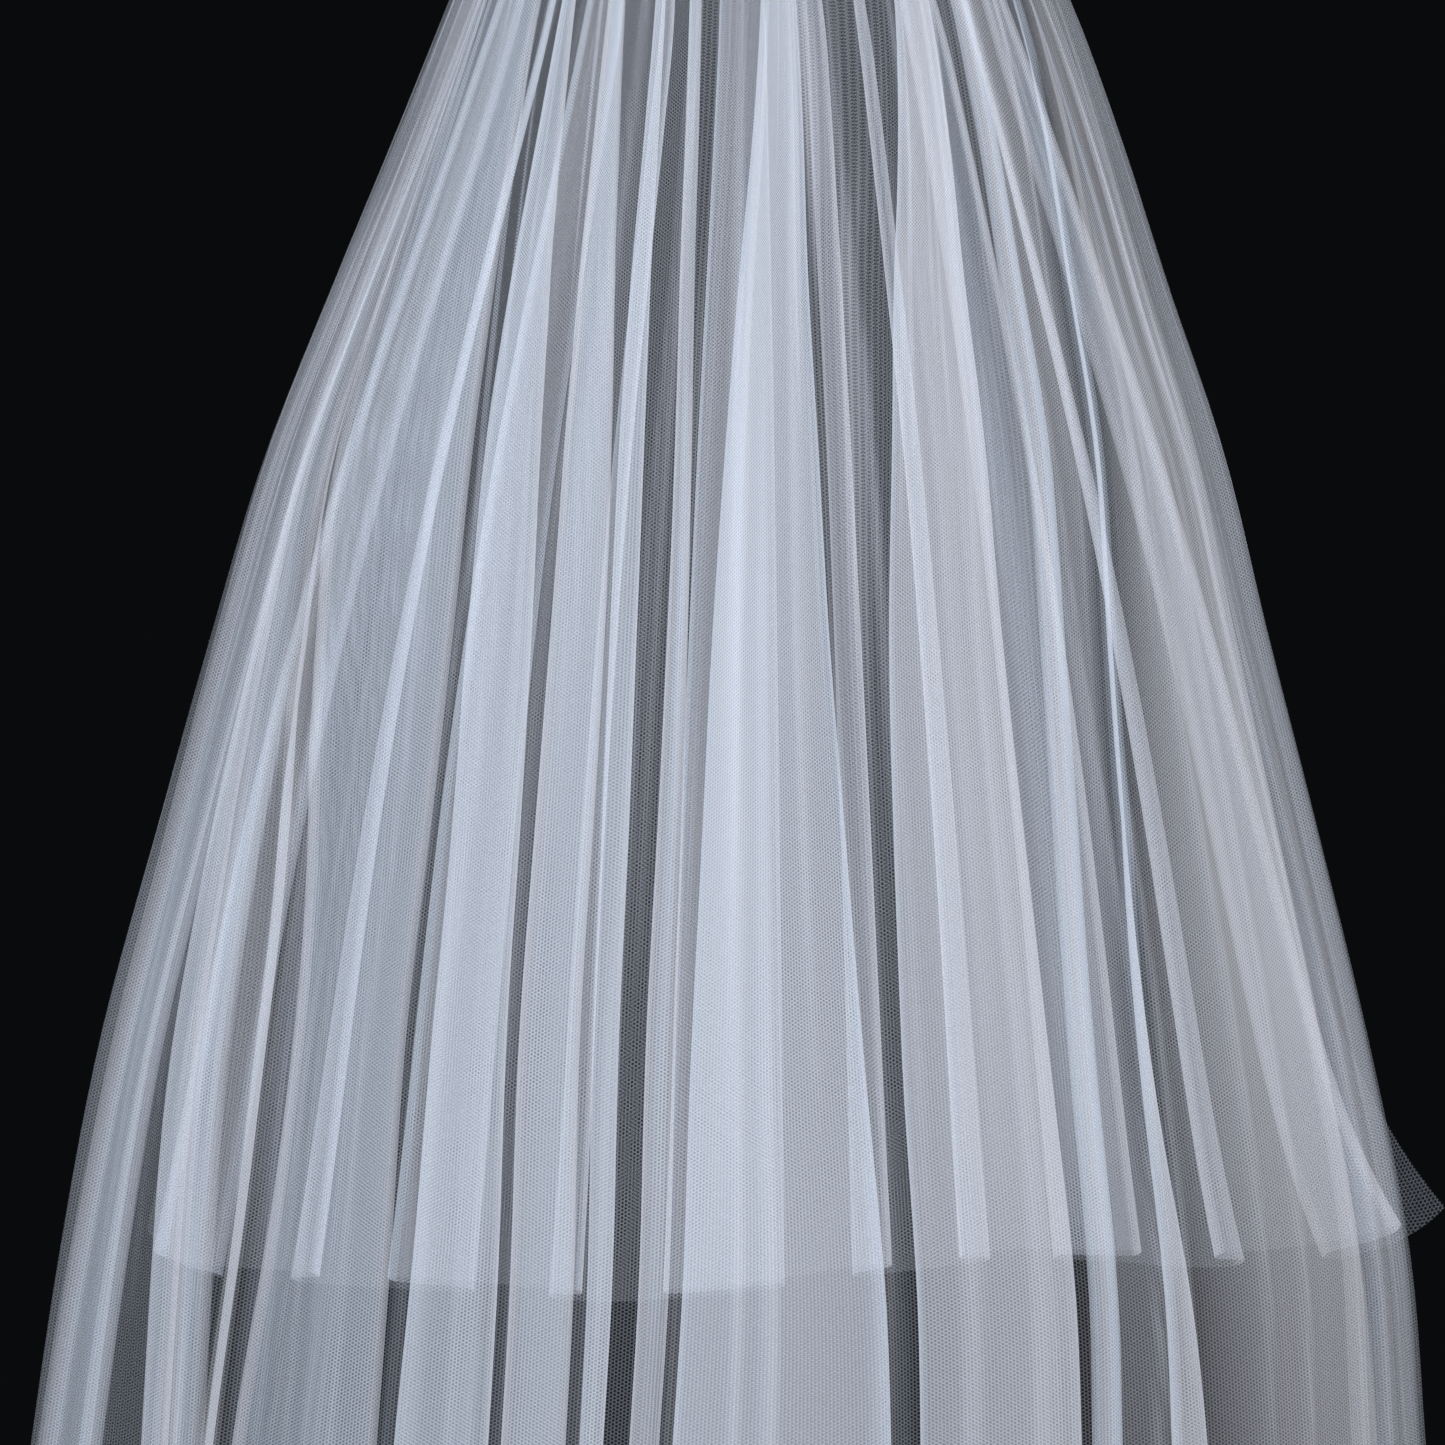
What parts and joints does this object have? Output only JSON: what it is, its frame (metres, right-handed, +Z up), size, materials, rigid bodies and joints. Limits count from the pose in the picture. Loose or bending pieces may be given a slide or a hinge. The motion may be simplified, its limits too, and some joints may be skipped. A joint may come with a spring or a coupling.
{
  "type": "two-tier bridal veil with hair comb",
  "caption": "Worn bridal veil: a long and a short tier of soft net gathered onto a hair comb, falling in long fanned folds, open at the hem and sides.",
  "frame": {"origin": "on the crown of the wearer's head, under the middle of the comb", "axes": "+Z up, +Y the way the wearer faces, so the long tier is at -Y and the short tier at +Y, +X to the right as seen from behind"},
  "size_m": [0.6144, 0.4404, 1.0091],
  "materials": {
    "back_tier_net": "fine soft net, see-through",
    "front_tier_net": "fine soft net, see-through",
    "binding_ribbon": "satin ribbon",
    "comb_metal": "plated wire comb"
  },
  "bodies": {
    "root": {"back_tier": "back_tier_net", "front_tier": "front_tier_net", "comb_binding": "binding_ribbon", "comb": "comb_metal"}
  },
  "joints": []
}
